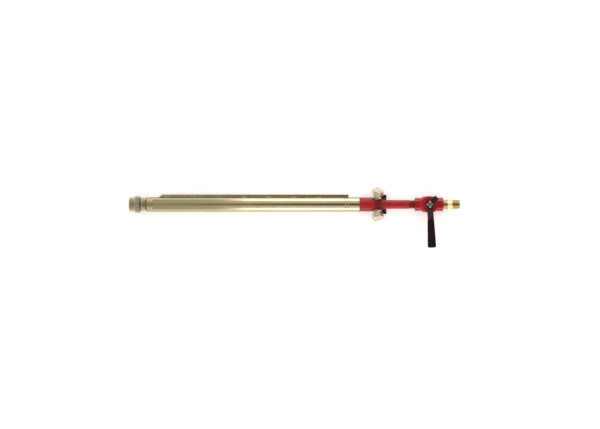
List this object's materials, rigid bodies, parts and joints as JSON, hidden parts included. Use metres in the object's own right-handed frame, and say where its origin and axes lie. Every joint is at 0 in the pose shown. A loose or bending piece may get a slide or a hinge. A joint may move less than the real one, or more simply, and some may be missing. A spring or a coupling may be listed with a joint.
{
  "type": "watering wand",
  "caption": "Straight watering wand with a quarter-turn ball valve, a red collar with capped side ports, a plated barrel with a side rail and a screw-on rose cap.",
  "frame": {"origin": "centre of the hose thread's end face, on the pipe axis", "axes": "+X out of the hose end along the water path, so the wand runs to -X; +Z along the valve stem, away from the surface that the wand lies on; +Y towards the side rail"},
  "size_m": [0.7859, 0.1431, 0.063],
  "materials": {
    "zinc_tube": "yellow zinc plate, satin",
    "bronze_cap": "dull bronze plate",
    "disc_steel": "satin",
    "seal_rubber": "matte",
    "red_paint": "glossy red enamel",
    "port_plate": "pale champagne plate, polished",
    "black_oxide": "black oxide, oiled",
    "seat_ptfe": "matte",
    "valve_brass": "bright turned",
    "ball_chrome": "polished",
    "stem_steel": "turned",
    "lever_black": "black coat, satin",
    "lever_vinyl": "dark dipped vinyl"
  },
  "bodies": {
    "wand": {"barrel_tube": "zinc_tube", "side_rail": "zinc_tube", "outlet_bush": "bronze_cap", "outlet_o_ring": "seal_rubber", "port_collar": "red_paint", "collar_o_ring": "seal_rubber", "port_stub_upper": "port_plate", "port_stub_lower": "port_plate", "port_cap_upper": "port_plate", "port_cap_lower": "port_plate", "port_seal_upper": "seal_rubber", "port_seal_lower": "seal_rubber", "lock_screw_upper": "black_oxide", "lock_screw_lower": "black_oxide", "lock_washer_upper": "black_oxide", "lock_washer_lower": "black_oxide", "inlet_pipe": "red_paint", "pipe_o_ring": "seal_rubber", "valve_body": "red_paint", "valve_end_piece": "red_paint", "body_o_ring": "seal_rubber", "seat_outlet_side": "seat_ptfe", "seat_inlet_side": "seat_ptfe", "thrust_washer": "seat_ptfe", "packing_ring": "seat_ptfe", "packing_nut": "valve_brass", "stop_pins": "stem_steel", "hose_nipple": "valve_brass"},
    "lever": {"lever": "lever_black", "lever_sleeve": "lever_vinyl", "lever_nut": "valve_brass", "stem": "stem_steel", "ball": "ball_chrome"},
    "rose_insert": {"rose_disc": "disc_steel", "rose_gasket": "seal_rubber"},
    "rose_cap": {"rose_cap": "bronze_cap"}
  },
  "joints": [
    {"name": "lever_turn", "type": "hinge", "parent": "wand", "child": "lever", "pos_m": [-0.0735, 0, 0], "axis": [0, 0, -1], "range_deg": [0, 90]},
    {"name": "rose_cap_advance", "type": "slide", "parent": "wand", "child": "rose_insert", "axis": [-1, 0, 0], "range_m": [0, 0.018]},
    {"name": "rose_cap_turn", "type": "hinge", "parent": "rose_insert", "child": "rose_cap", "pos_m": [-0.77, 0, 0], "axis": [-1, 0, 0], "range_deg": [0, 3240]}
  ],
  "couplings": [
    {"joint": "rose_cap_advance", "follows": "rose_cap_turn", "m_per_rad": 0.00031831}
  ]
}
